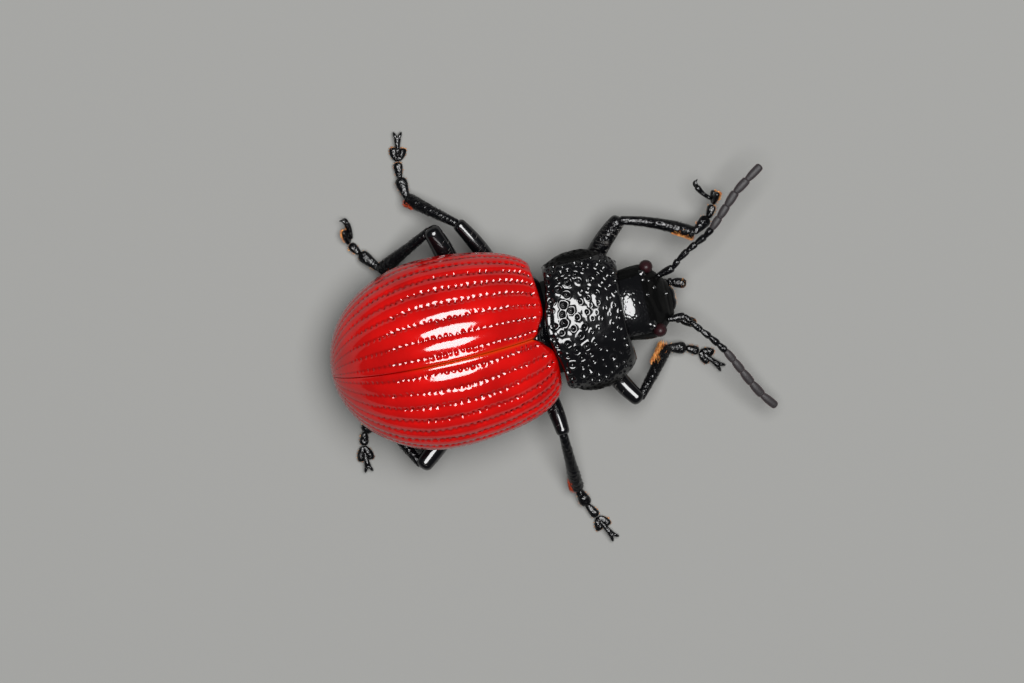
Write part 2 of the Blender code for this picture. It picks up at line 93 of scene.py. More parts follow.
def new_finish(name, code, **sockets):
    """A material with one colour and the plain values of its surface."""
    material = bpy.data.materials.new(name)
    material.use_nodes = True
    shader = material.node_tree.nodes["Principled BSDF"]
    shader.inputs["Base Color"].default_value = colour(code)
    for socket, value in sockets.items():
        shader.inputs[socket.replace("_", " ")].default_value = value
    return material


def wear(material, socket, output):
    """Drive one socket of a material's shader from a node's output."""
    shader = material.node_tree.nodes["Principled BSDF"]
    material.node_tree.links.new(output, shader.inputs[socket])


def set_down(bm, name, *materials):
    """Turn a shape to metres, move it to its place and make it an object."""
    bmesh.ops.transform(bm, matrix=Matrix.Translation(HOME) @ Matrix.Scale(MM, 4), verts=bm.verts)
    mesh = bpy.data.meshes.new(name)
    bm.to_mesh(mesh)
    bm.free()
    mesh.shade_smooth()
    for material in materials:
        mesh.materials.append(material)
    piece = bpy.data.objects.new(name, mesh)
    bpy.context.scene.collection.objects.link(piece)
    return piece


# Uncoated card: felted paper fibres, with no shine and a grain that hardly shows
card = new_finish("matt_grey_card", "#696967", Roughness=0.9)
place = add_node(card, "ShaderNodeTexCoord").outputs["Object"]
fibres = add_node(card, "ShaderNodeTexNoise", {
    "Vector": place, "Scale": 1 / (CARD_GRAIN * MM), "Detail": 3})
card_bump = add_node(card, "ShaderNodeBump", {
    "Height": fibres.outputs["Fac"], "Strength": 0.2, "Distance": 0.05 * MM})
wear(card, "Normal", card_bump.outputs["Normal"])
floor_shape = bmesh.new()
bmesh.ops.create_grid(floor_shape, x_segments=1, y_segments=1, size=FLOOR_HALF / MM)
set_down(floor_shape, "card_floor", card)

room = bpy.data.worlds.new("studio_room")
room.use_nodes = True
room.node_tree.nodes["Background"].inputs["Color"].default_value = colour("#dfe4ea")
room.node_tree.nodes["Background"].inputs["Strength"].default_value = ROOM_STRENGTH
bpy.context.scene.world = room
bpy.context.scene.view_settings.view_transform = "Standard"

softbox = bpy.data.objects.new("softbox", bpy.data.lights.new("softbox", "AREA"))
softbox.data.shape = "ELLIPSE"
softbox.data.size, softbox.data.size_y = SOFTBOX_SIZE
softbox.data.energy = SOFTBOX_WATTS
softbox.location = SOFTBOX_WAY * SOFTBOX_DISTANCE * MM
softbox.rotation_euler = SOFTBOX_WAY.to_track_quat("Z", "Y").to_euler()
bpy.context.scene.collection.objects.link(softbox)

camera = bpy.data.objects.new("camera", bpy.data.cameras.new("camera"))
camera.data.lens = CAMERA_LENS
camera.data.sensor_width = 36
camera.data.clip_start = 0.01
camera.matrix_world = (Matrix.Translation(HOME + CAMERA_PLACE * MM)
                       @ Matrix.Rotation(-CAMERA_LEAN, 4, "X") @ Matrix.Rotation(-CAMERA_ROLL, 4, "Z"))
bpy.context.scene.collection.objects.link(camera)
bpy.context.scene.camera = camera


# Wing cases: two hard shells of chitin that lock along a straight seam. Each is furrowed
# lengthwise by ten rows of pits, which the grub's skin forms as it hardens in the pupa.
ELYTRA_LENGTH = 9.28
ELYTRA_HALF_WIDTH = 3.98
WIDEST = 0.48
DOME_TOP = 6.5
DOME_FRONT = 4.55
GIRTH = 3.2
APEX_DROP = 0.7
WRAP = radians(105)
BASE_BLUNT = 0.012
BASE_SETBACK = 0.13
BASE_LOBE = 0.06
LOBE_SPAN = radians(68)
BASE_NOTCH = 0.45
NOTCH_SPREAD = radians(14)
BASE_SKEW = 0.14            # the waist is bent: the left front edge lies further back
SEAM = 0.02                 # half the width of the seam between the two
LIP = 0.42                  # how far the rim turns in below the edge
ROWS = 10
FURROW = 0.05
PIT_PITCH = 0.27
DISH_RADIUS = 0.15          # each pit is a wide dish with a small hole at its bottom
DISH_DEPTH = 0.058
SPINE = radians(40)         # the line along which the pits' pitch is measured
SPINE_STEPS = 600
COLOUR_CLOUD = 1.43         # size of the faint lighter and darker clouds in the red
SKIN_GRAIN = 0.2            # size of the waves in the wax skin


def dome_point(share, angle):
    """A point of the dome at a share of its length and an angle down from its crest."""
    if share < WIDEST:
        narrowing = ((WIDEST - share) / (WIDEST + BASE_BLUNT)) ** 1.6
        half_width = ELYTRA_HALF_WIDTH * (1 - narrowing) ** (1 / 6)
    else:
        half_width = ELYTRA_HALF_WIDTH * max(0, 1 - ((share - WIDEST) / (1 - WIDEST)) ** 2.1) ** 0.5
    girth = GIRTH - APEX_DROP * max(0, (share - WIDEST) / (1 - WIDEST)) ** 2
    if share < 0.5:
        rise = DOME_TOP - GIRTH - (DOME_TOP - DOME_FRONT) * ((0.5 - share) / 0.5) ** 2.3
    else:
        rise = (DOME_TOP - GIRTH) * max(0, 1 - ((share - 0.5) / 0.5) ** 2.2) ** 0.5
    return Vector((-ELYTRA_LENGTH * share, half_width * sin(angle), girth + rise * cos(angle)))


def wing_point(side, share, angle):
    """A point of one wing case, whose front edge is cut back to make room for the scutellum."""
    back = BASE_SETBACK + BASE_NOTCH * exp(-(angle / NOTCH_SPREAD) ** 2) + side * BASE_SKEW * sin(angle)
    back -= BASE_LOBE * sin(min(pi, angle * pi / LOBE_SPAN))
    return dome_point(share + (1 - share) * back / ELYTRA_LENGTH, angle)


def smooth(low, high, value):
    """0 below low, 1 above high and a soft step between."""
    share = max(0, min(1, (value - low) / (high - low)))
    return share * share * (3 - 2 * share)


def press_pits(bm, pits, hole, lip):
    """Press dishes, each a centre, a radius and a depth, with a hole and a raised rim."""
    tree = KDTree(len(pits))
    for i, pit in enumerate(pits):
        tree.insert(pit[0], i)
    tree.balance()
    # The hole at each pit's floor is kept as a mask of painted shade, which darkens it on the red wing
    # cases
    pit_shade_layer = bm.verts.layers.float.new("pit")
    bm.normal_update()
    for vertex in bm.verts:
        i, distance = tree.find(vertex.co)[1:]
        reach = distance / pits[i][1] * (1 + 0.3 * noise.noise(vertex.co * 5))
        if reach < 2:
            core = max(0, 1 - (reach / hole) ** 2) if hole else 0
            dish = max(0, 1 - reach ** 2) ** 2
            rim = lip * exp(-((reach - 1.25) / 0.3) ** 2)
            vertex[pit_shade_layer] = core
            vertex.co -= vertex.normal * (pits[i][2] * (dish + 0.5 * core - rim))


spine_shares = [0.5 - 0.5 * cos(pi * i / SPINE_STEPS) for i in range(SPINE_STEPS + 1)]
spine = [0.0]
for here, there in zip(spine_shares, spine_shares[1:]):
    spine.append(spine[-1] + (dome_point(there, SPINE) - dome_point(here, SPINE)).length)


def share_at(length):
    """The share of the dome's length that lies this far along its spine line."""
    i = max(1, min(SPINE_STEPS, bisect(spine, length)))
    part = (length - spine[i - 1]) / (spine[i] - spine[i - 1])
    return spine_shares[i - 1] + (spine_shares[i] - spine_shares[i - 1]) * part


def wing_case_pits(side, rng):
    """Ten rows of pits, a little uneven as real ones are, and a short row by the scutellum."""
    pits = []
    rows = [(WRAP * (row + 0.5) / ROWS, 0.3, spine[-1] - 0.5) for row in range(ROWS)]
    rows.append((radians(2.8), 0.7, 1.6))
    for angle, start, end in rows:
        sway = rng.uniform(0, 2 * pi)
        length = start + rng.uniform(0, PIT_PITCH)
        while length < end:
            waver = radians(0.35 * sin(length * 1.7 + sway) + rng.gauss(0, 0.2))
            spot = wing_point(side, share_at(length), angle + waver)
            size = rng.uniform(0.82, 1.08) * (1 - 0.55 * smooth(0.5, 0.85, length / spine[-1]))
            size *= 0.7 if angle < radians(4) else 1 - 0.35 * smooth(0.55, 0.85, angle / WRAP)
            pits.append((spot, DISH_RADIUS * size, DISH_DEPTH * size * size))
            length += PIT_PITCH * rng.uniform(0.86, 1.16)
    return pits


def face_way(bm, way):
    """Turn a plate's faces so that they look up, for a way of 1, or down, for a way of -1."""
    bmesh.ops.recalc_face_normals(bm, faces=bm.faces)
    highest = max(bm.faces, key=lambda face: face.calc_center_median().z)
    if highest.normal.z * way < 0:
        bmesh.ops.reverse_faces(bm, faces=bm.faces)


def new_rim(bm):
    """Draw a new row of points out of the open edge of a plate, still in the old row's place."""
    edge = [line for line in bm.edges if line.is_boundary]
    made = bmesh.ops.extrude_edge_only(bm, edges=edge)["geom"]
    return [part for part in made if isinstance(part, bmesh.types.BMVert)]


def wing_case(side, rng):
    """One half of the dome: a grid bent over it, furrowed, pitted and rimmed."""
    bm = bmesh.new()
    bmesh.ops.create_grid(bm, x_segments=420, y_segments=16 * ROWS, size=1)
    # Painted shade: a mask for darkening the bottom of each furrow
    furrow_shade_layer = bm.verts.layers.float.new("furrow_shade")
    seam_side = bm.verts.layers.float.new("seam")
    for vertex in bm.verts:
        cell = (vertex.co.y + 1) / 2 * ROWS
        across = cell + 0.45 / (2 * pi) * sin(2 * pi * cell)
        length = (vertex.co.x + 1) / 2 * spine[-1]
        share = share_at(length)
        angle = WRAP * across / ROWS
        point = wing_point(side, share, angle)
        fade = smooth(0, 0.6, length) * (1 - 0.75 * smooth(0.6, 0.97, length / spine[-1]))
        fade *= 1 - 0.6 * smooth(0.5, 0.8, across / ROWS)
        vertex[furrow_shade_layer] = (0.5 - 0.5 * cos(2 * pi * across)) ** 6
        vertex[seam_side] = exp(-(point.y / 0.05) ** 2) * (1 - smooth(0.4, 0.7, share))
        sunk = FURROW * fade * (0.5 - 0.5 * cos(2 * pi * across)) ** 1.2
        sunk += 0.12 * exp(-length / 0.06) + 0.05 * exp(-(point.y / 0.07) ** 2)
        sunk += 0.03 * smooth(0.985, 1, across / ROWS)
        sunk += 0.02 * noise.noise(point * 0.9)
        outward = Vector((0, point.y / ELYTRA_HALF_WIDTH, (point.z - GIRTH) / (DOME_TOP - GIRTH)))
        point -= outward.normalized() * sunk
        point.y = max(point.y, 0) + SEAM
        vertex.co = point
    bmesh.ops.remove_doubles(bm, verts=bm.verts, dist=0.002)
    face_way(bm, 1)
    press_pits(bm, wing_case_pits(side, rng), hole=0.36, lip=0.08)
    for vertex in new_rim(bm):
        axis = Vector((max(vertex.co.x, 0.8 - ELYTRA_LENGTH), 0, GIRTH))
        vertex.co += (axis - vertex.co).normalized() * LIP
        vertex.co.y = max(vertex.co.y, SEAM)
    if side < 0:
        bmesh.ops.scale(bm, vec=(1, -1, 1), verts=bm.verts)
        bmesh.ops.reverse_faces(bm, faces=bm.faces)
    return bm


# Chitin tinted red through its depth, under its own clear waxy skin: a deep wet gloss, with painted shade
# at the floor of each pit and along the bottom of each furrow
red_chitin = new_finish("waxed_red_chitin", "#900503", Roughness=0.4, Specular_IOR_Level=0,
                        Coat_Weight=1.0, Coat_Roughness=0.1, Coat_IOR=1.54)
place = add_node(red_chitin, "ShaderNodeTexCoord").outputs["Object"]
clouds = add_node(red_chitin, "ShaderNodeTexNoise", {
    "Vector": place, "Scale": 1 / (COLOUR_CLOUD * MM), "Detail": 4})
tints = add_node(red_chitin, "ShaderNodeValToRGB", {"Fac": clouds.outputs["Fac"]})
tints.color_ramp.elements[0].position = 0.3
tints.color_ramp.elements[0].color = colour("#840403")
tints.color_ramp.elements[1].position = 0.7
tints.color_ramp.elements[1].color = colour("#9c0604")
# Painted shade: the bottom of each furrow darkened towards dark red
furrow_shade_fill = add_node(red_chitin, "ShaderNodeAttribute", attribute_name="furrow_shade").outputs["Fac"]
furrow_shade_amount = add_node(red_chitin, "ShaderNodeMapRange", {
    "Value": furrow_shade_fill, "From Min": 0.25, "To Max": 0.4})
seam_fill = add_node(red_chitin, "ShaderNodeAttribute", attribute_name="seam").outputs["Fac"]
edged = add_node(red_chitin, "ShaderNodeMix", {
    "Factor": seam_fill, "A": tints.outputs["Color"], "B": colour("#a02c04")}, data_type="RGBA")
furrow_shaded = add_node(red_chitin, "ShaderNodeMix", {
    "Factor": furrow_shade_amount.outputs["Result"], "A": edged.outputs["Result"],
    "B": colour("#3c0202")}, data_type="RGBA")
# Painted shade: the hole at each pit's floor darkened to near black
pit_shade_fill = add_node(red_chitin, "ShaderNodeAttribute", attribute_name="pit").outputs["Fac"]
pit_shade_amount = add_node(red_chitin, "ShaderNodeMapRange", {
    "Value": pit_shade_fill, "From Min": 0.05, "From Max": 0.6, "To Max": 0.95})
pit_shaded = add_node(red_chitin, "ShaderNodeMix", {
    "Factor": pit_shade_amount.outputs["Result"], "A": furrow_shaded.outputs["Result"],
    "B": colour("#180202")}, data_type="RGBA")
wear(red_chitin, "Base Color", pit_shaded.outputs["Result"])
grain = add_node(red_chitin, "ShaderNodeTexNoise", {
    "Vector": place, "Scale": 1 / (SKIN_GRAIN * MM), "Detail": 3})
grain_bump = add_node(red_chitin, "ShaderNodeBump", {
    "Height": grain.outputs["Fac"], "Strength": 0.5, "Distance": 0.01 * MM})
wear(red_chitin, "Normal", grain_bump.outputs["Normal"])

for side_name, side in (("left", 1), ("right", -1)):
    case = set_down(wing_case(side, Random(40 + side)), f"wing_case_{side_name}", red_chitin)
    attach(case, "root")
    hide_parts(f"elytron_{side_name}")


# Scutellum: the small black shield wedged between the bases of the wing cases, a hard
# polished plate with rounded edges that stands a little proud of them
SHIELD_TIP = -0.8
SHIELD_HALF_WIDTH = 0.36
SHIELD_BULGE = 0.21
SHIELD_DEPTH = 0.3
CELL = 0.0625               # pitch of the mesh of skin cells, drawn coarse enough to show
SWELL = 0.4                 # size of the low swells in the wall

# Black chitin: melanin through the whole wall and a polished wax skin, so it shows hardly
# any colour of its own and carries the lamp as small hard highlights
black_chitin = new_finish("polished_black_chitin", "#030304", Roughness=0.35, Specular_IOR_Level=0.05,
                          Coat_Weight=0.95, Coat_Roughness=0.07, Coat_IOR=1.5)
place = add_node(black_chitin, "ShaderNodeTexCoord").outputs["Object"]
cells = add_node(black_chitin, "ShaderNodeTexVoronoi", {"Vector": place, "Scale": 1 / (CELL * MM)})
swells = add_node(black_chitin, "ShaderNodeTexNoise", {
    "Vector": place, "Scale": 1 / (SWELL * MM), "Detail": 3})
uneven = add_node(black_chitin, "ShaderNodeMath", {
    0: cells.outputs["Distance"], 1: swells.outputs["Fac"]}, operation="ADD")
uneven_bump = add_node(black_chitin, "ShaderNodeBump", {
    "Height": uneven.outputs["Value"], "Strength": 0.3, "Distance": 0.01 * MM})
wear(black_chitin, "Normal", uneven_bump.outputs["Normal"])

# The same black chitin roughened by a mesh too fine to see: nearly black, with a faint gloss
satin_chitin = new_finish("satin_black_chitin", "#040404", Roughness=0.45, Specular_IOR_Level=0.03,
                          Coat_Weight=0.1, Coat_Roughness=0.1, Coat_IOR=1.5)

plate = bmesh.new()
bmesh.ops.create_grid(plate, x_segments=48, y_segments=48, size=1)
for vertex in plate.verts:
    along, across = (vertex.co.x + 1) / 2, vertex.co.y
    x = SHIELD_TIP + (SCUTELLUM_FRONT - SHIELD_TIP) * along
    y = SHIELD_HALF_WIDTH * across * along ** 0.85
    lift = SHIELD_BULGE * sin(pi * along) * (1 - across ** 4)
    vertex.co = (x, y, dome_point(-x / ELYTRA_LENGTH, 0).z + lift)
face_way(plate, 1)
for vertex in new_rim(plate):
    vertex.co.z -= SHIELD_DEPTH
bmesh.ops.remove_doubles(plate, verts=plate.verts, dist=0.0005)
shield = set_down(plate, "scutellum_shield", black_chitin)
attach(shield, "root")
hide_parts("scutellum")


# First thorax ring: the pronotum is its arched upper plate, one hard casting with big
# crowded pits at the rear and sides. The breastplate closes it below, between the legs.
PRONOTUM_REAR = 0.2
REAR_LOBE = 0.42            # how far the plate reaches back over the waist in the middle
PRONOTUM_FRONT = 3.1
PRONOTUM_HALF_WIDTH = 2.95
PRONOTUM_CREST = 4.85
PRONOTUM_PEAK = 0.05
PRONOTUM_RIM = 2.9
PLATE_WALL = 0.35           # how far each plate's edge turns in
PIT_TRIES = 6000            # places tried for a pit; those too near another are passed over
SATIN_MARGIN = 0.88         # share of the half width past which the plate is duller
KEEL = 1.5                  # height of the beetle's underside in the middle


def pronotum_shape(share):
    """Half width, crest height and rim height of the ring at a share of its length."""
    if share < 0.45:
        half_width = PRONOTUM_HALF_WIDTH * (1 - 0.13 * ((0.45 - share) / 0.45) ** 2.2)
    else:
        half_width = PRONOTUM_HALF_WIDTH * (1 - 0.28 * ((share - 0.45) / 0.55) ** 2.2)
    if share < PRONOTUM_PEAK:
        crest = PRONOTUM_CREST - 0.12 * ((PRONOTUM_PEAK - share) / PRONOTUM_PEAK) ** 2
    else:
        crest = PRONOTUM_CREST - 0.65 * ((share - PRONOTUM_PEAK) / (1 - PRONOTUM_PEAK)) ** 1.4
    return half_width, crest, PRONOTUM_RIM - 0.15 * share


def pronotum_point(share, angle):
    """A point of the pronotum at a share of its length and an angle down from its crest."""
    half_width, crest, rim = pronotum_shape(share)
    y = half_width * sin(angle)
    x = PRONOTUM_REAR + (PRONOTUM_FRONT - PRONOTUM_REAR) * share + 0.16 * sin(angle) ** 2 * share
    x -= REAR_LOBE * exp(-((y - 0.15) / 1.25) ** 2) * (1 - share) ** 3
    return Vector((x, y, rim + (crest - rim) * max(0, cos(angle)) ** 0.85))


def pronotum_pits(rng):
    """Big pits crowd the rear and the sides, and thin out over the smooth front middle."""
    pits = []
    places = []
    for _ in range(PIT_TRIES):
        share, lean = rng.uniform(0.03, 0.96), rng.uniform(-0.95, 0.95)
        calm = exp(-(lean / 0.42) ** 2) * smooth(0.3, 0.6, share)
        side = smooth(0.35, 0.75, abs(lean))
        room = 0.37 - 0.14 * side - 0.08 * calm
        spot = pronotum_point(share, lean * pi / 2)
        if all((spot - other).length > room for other in places):
            places.append(spot)
            size = (0.15 - 0.06 * side - 0.085 * calm) * rng.uniform(0.7, 1.12)
            pits.append((spot, size, size * 0.65))
    return pits


arched = bmesh.new()
bmesh.ops.create_grid(arched, x_segments=130, y_segments=300, size=1)
for vertex in arched.verts:
    share = (vertex.co.x + 1) / 2
    lean = vertex.co.y * (1.35 - 0.35 * abs(vertex.co.y))
    point = pronotum_point(share, lean * pi / 2)
    side = abs(point.y) / PRONOTUM_HALF_WIDTH
    sunk = 0.1 * exp(-share / 0.02) + 0.1 * exp(-(1 - share) / 0.02)
    sunk += 0.05 * exp(-((side - 0.93) / 0.03) ** 2) * smooth(0, 0.1, share)
    sunk += 0.06 * exp(-((side - 0.62 + 0.1 * share) / 0.16) ** 2) * smooth(0.25, 0.6, share)
    sunk += 0.06 * exp(-((share - 0.06) / 0.03) ** 2) * (1 - smooth(0.5, 0.8, side))
    sunk += 0.02 * noise.noise(point * 1.6) + 0.012 * noise.noise(point * 4.5)
    axis = Vector((point.x, 0, PRONOTUM_RIM - 1))
    vertex.co = point + (axis - point).normalized() * sunk
face_way(arched, 1)
press_pits(arched, pronotum_pits(Random(7)), hole=0, lip=0.3)
for vertex in new_rim(arched):
    axis = Vector((vertex.co.x, 0, KEEL + 1))
    vertex.co += (axis - vertex.co).normalized() * PLATE_WALL
for face in arched.faces:
    if abs(face.calc_center_median().y) > SATIN_MARGIN * PRONOTUM_HALF_WIDTH:
        face.material_index = 1
pronotum = set_down(arched, "pronotum_plate", black_chitin, satin_chitin)
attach(pronotum, "root")
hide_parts("prothorax")

breast = bmesh.new()
bmesh.ops.create_grid(breast, x_segments=60, y_segments=100, size=1)
for vertex in breast.verts:
    share = (vertex.co.x + 1) / 2
    half_width, _, rim = pronotum_shape(share)
    y = vertex.co.y * (half_width - 0.03)
    x = PRONOTUM_REAR + (PRONOTUM_FRONT - PRONOTUM_REAR) * share + 0.16 * vertex.co.y ** 2 * share
    groove = 0.05 * exp(-((abs(vertex.co.y) - 0.6) / 0.03) ** 2)
    lift = (rim - KEEL) * abs(vertex.co.y) ** 1.25 + groove + 0.02 * noise.noise(Vector((x, y, 9)) * 3)
    vertex.co = (x, y, KEEL + lift)
face_way(breast, -1)
for vertex in new_rim(breast):
    axis = Vector((vertex.co.x, 0, KEEL + 1.4))
    vertex.co += (axis - vertex.co).normalized() * PLATE_WALL
breastplate = set_down(breast, "breastplate", black_chitin)
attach(breastplate, "root")
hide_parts("prothorax")


# Waist: the narrow ring behind the first thorax ring, mostly hidden, a closed barrel of
# dull black skin that runs into both its neighbours
WAIST_PLACE = Vector((0.1, 0, 2.83))
WAIST_RADII = Vector((0.65, 1.95, 1.32))

# Soft skin between the hard plates: black, matt and creased too finely to show
dull_skin = new_finish("dull_black_skin", "#040404", Roughness=0.8, IOR=1.3)
waist_shape = bmesh.new()
bmesh.ops.create_uvsphere(waist_shape, u_segments=64, v_segments=32, radius=1)
for vertex in waist_shape.verts:
    x, y, z = vertex.co
    stretch = 1 / max(abs(x), sqrt(y * y + z * z), 0.001)
    vertex.co = WAIST_PLACE + Vector([a * b * stretch for a, b in zip(WAIST_RADII, vertex.co)])
waist = set_down(waist_shape, "waist_ring", dull_skin)
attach(waist, "root")
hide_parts("hind_thorax")


# Middle and hind thorax, then the abdomen with its five belly plates, in black chitin:
# seen from below and as a dark line between the wing cases and the legs
THORAX_END = -3.9
BODY_INSET = 0.6
BODY_GAP = 0.1
THORAX_GROOVE = 0.13        # share of the wing cases' length where the two rings meet
BELLY_GROOVES = (0.4, 0.58, 0.73, 0.86)  # shares of the belly's length between its plates


def wrap(rings, segments, reshape):
    """A closed skin: a ball whose points are moved by their share along and turn around."""
    bm = bmesh.new()
    bmesh.ops.create_uvsphere(bm, u_segments=segments, v_segments=rings, radius=1)
    for vertex in bm.verts:
        vertex.co = reshape((1 - vertex.co.z) / 2, atan2(vertex.co.y, vertex.co.x))
    bmesh.ops.recalc_face_normals(bm, faces=bm.faces)
    return bm


def body_point(share, turn):
    """A point round the body: a third of the turn under the wing cases, the rest as belly."""
    back = abs(turn - pi / 2) if turn > -pi / 2 else abs(turn + 3 * pi / 2)
    side = 1 if abs(turn) < pi / 2 else -1
    shrink = 1 - BODY_INSET / ELYTRA_HALF_WIDTH
    if back < pi / 3:
        outer = dome_point(share, WRAP * back / (pi / 3))
        return Vector((-ELYTRA_LENGTH * share, side * outer.y * shrink,
                       GIRTH + (outer.z - GIRTH) * shrink))
    margin = dome_point(share, WRAP)
    margin_z = GIRTH + (margin.z - GIRTH) * shrink
    inward = (pi - back) / (pi * 2 / 3)
    taper = max(0, (share - 0.6) / 0.4)
    keel = KEEL + 0.7 * taper ** 2
    return Vector((-ELYTRA_LENGTH * share, side * margin.y * shrink * inward,
                   keel + (margin_z - keel) * inward ** 1.8))


def body_skin(start, end, grooves):
    """A length of the trunk, closed at both ends, with a fine groove behind each plate."""
    def reshape(along, turn):
        inner = max(0, min(1, (along - 0.01) / 0.98))
        share = start + (end - start) * inner
        point = body_point(max(0, share), turn)
        point.x = -ELYTRA_LENGTH * share
        heart = Vector((point.x, 0, (KEEL + GIRTH) / 2))
        close = min(1, along / 0.01, (1 - along) / 0.01)
        for groove in grooves:
            close -= 0.02 * exp(-((share - groove) / 0.004) ** 2)
        return heart + (point - heart) * close
    return wrap(160, 120, reshape)


thorax_share = -THORAX_END / ELYTRA_LENGTH
tail_share = 1 - BODY_INSET / ELYTRA_LENGTH
belly_start = thorax_share + BODY_GAP / ELYTRA_LENGTH
grooves = [belly_start + (tail_share - belly_start) * groove for groove in BELLY_GROOVES]
for name, node, start, end, lines in (
        ("hind_thorax_skin", "hind_thorax", 0.0, thorax_share, [THORAX_GROOVE]),
        ("belly_skin", "abdomen", belly_start, tail_share, grooves)):
    trunk = set_down(body_skin(start, end, lines), name, black_chitin)
    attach(trunk, "root")
    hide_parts(node)


# Head: a hard round capsule sunk in the thorax ring up to its cheeks, with a domed crown,
# a dented brow and a blunt face that slopes down to the mouth
HEAD_TURN = 0.17
HEAD_TILT = radians(-15)
HEAD_AXIS = 2.7
HEAD_FULLNESS = 2.3         # 2 would be an oval in section, and more is squarer
FACE_START = 4.1            # ahead of this and beyond the cheeks the skin is duller
CHEEK = 1.2
HEAD_PIT_TRIES = 2400
BOSSES = (                  # place along, share of the way across, radius and height
    (4.25, 0.05, 0.09, 0.08),
    (5.0, 0.07, 0.1, 0.12),
    (4.59, 0.2, 0.09, 0.07),
    (4.18, 0.33, 0.1, 0.05),
    (4.42, 0.31, 0.08, 0.07),
    (4.23, 0.47, 0.18, 0.09),
    (4.2, -0.5, 0.22, 0.12),
)
HEAD_SECTIONS = (           # place along, half width, top and bottom
    (2.35, 1.0, 3.45, 2.05),
    (2.6, 1.28, 3.72, 1.86),
    (3.0, 1.43, 3.94, 1.72),
    (3.45, 1.51, 3.99, 1.6),
    (3.9, 1.57, 3.86, 1.52),
    (4.3, 1.54, 3.66, 1.48),
    (4.65, 1.28, 3.3, 1.46),
    (4.95, 0.96, 2.92, 1.46),
    (5.2, 0.66, 2.5, 1.52),
)


def on_head(x, y, z):
    """A place given on a level head in the middle, once the head is turned and tilted."""
    rise = z - HEAD_AXIS
    across = HEAD_TURN + y * cos(HEAD_TILT) - rise * sin(HEAD_TILT)
    return Vector((x, across, HEAD_AXIS + y * sin(HEAD_TILT) + rise * cos(HEAD_TILT)))


def along_curve(points, share):
    """A point on the smooth curve through vectors, at a share of their count."""
    reach = max(0, min(1, share)) * (len(points) - 1)
    i = min(int(reach), len(points) - 2)
    part = reach - i
    before, here, there, after = (points[max(0, min(len(points) - 1, k))] for k in range(i - 1, i + 3))
    return ((here * 2) + (there - before) * part + (before * 2 - here * 5 + there * 4 - after) * part ** 2
            + (here * 3 - before - there * 3 + after) * part ** 3) / 2


head_rows = [Vector(row) for row in HEAD_SECTIONS]


def head_point(along, turn):
    """A point of the capsule at a share of its length and a turn from the left side up."""
    x, half_width, top, bottom = along_curve(head_rows, (along - 0.02) / 0.95)
    close = sqrt(min(1, along / 0.02)) * sqrt(max(0, min(1, (1 - along) / 0.03)))
    power = HEAD_FULLNESS
    reach = (abs(cos(turn)) ** power + abs(sin(turn)) ** power) ** (-1 / power) * close
    y = half_width * reach * cos(turn)
    z = (top - bottom) / 2 * reach * sin(turn)
    out = abs(y)
    dent = 0.06 * exp(-((x - 4.42 - 0.25 * out) / 0.13) ** 2) * smooth(1.1, 0.4, out)
    dent += 0.03 * exp(-(y / 0.09) ** 2) * smooth(4.0, 4.3, x) * (1 - smooth(4.5, 4.7, x))
    dent -= 0.07 * exp(-((out - 1.12) / 0.09) ** 2) * exp(-((x - 4.1) / 0.16) ** 2)
    dent -= 0.05 * exp(-((out - 0.4) / 0.18) ** 2) * exp(-((x - 4.68) / 0.13) ** 2)
    dent += 0.04 * exp(-((x - 5.02) / 0.05) ** 2)
    z -= dent * max(0, sin(turn)) + 0.01 * noise.noise(Vector((x, y, turn)) * 2)
    return on_head(x + 0.04 * (1 - close), y, (top + bottom) / 2 + z)


def on_skin(x, across):
    """The top of the head at a place along and a way across it, from -1 on its right to 1."""
    near = min((abs(head_point(i / 100, pi / 2).x - x), i / 100) for i in range(100))[1]
    return head_point(near, pi / 2 - across * pi / 2)


def head_pits(rng):
    """Bosses on the brow and beside the eyes, then fine pits round the polished crown."""
    pits = [(on_skin(x, across), size, -height) for x, across, size, height in BOSSES]
    for _ in range(HEAD_PIT_TRIES):
        along, turn = rng.uniform(0.08, 0.9), rng.uniform(0.02, pi - 0.02)
        spot = head_point(along, turn)
        polish = exp(-((spot.x - 3.45) / 0.36) ** 2) * exp(-((turn - 1.75) / 0.32) ** 2)
        far = min((spot - boss).length / size for boss, size, _ in pits[:len(BOSSES)])
        if far > 1.6 and rng.random() > max(0.92 * polish, smooth(4.0, 4.6, spot.x) * 0.93):
            size = rng.uniform(0.018, 0.04)
            pits.append((spot, size, size * 0.5))
    return pits


capsule = wrap(220, 240, head_point)
press_pits(capsule, head_pits(Random(3)), hole=0.5, lip=0.1)
polished = [(on_skin(x, across), size) for x, across, size, _ in BOSSES]
for face in capsule.faces:
    middle = face.calc_center_median()
    if middle.x > FACE_START or abs(middle.y - HEAD_TURN) > CHEEK:
        face.material_index = 1 if all((middle - spot).length > size for spot, size in polished) else 0
head = set_down(capsule, "head_capsule", black_chitin, satin_chitin)
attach(head, "root")
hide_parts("head")


# Eyes: two low ovals of some hundred lens facets each, dark red-brown, set in the sides
# of the head. The facets are drawn at 0.045 mm, twice their real size, so that they show.
EYE = (4.43, 1.36, 3.12)
EYE_RADII = Vector((0.29, 0.28, 0.42))
FACET = 0.045

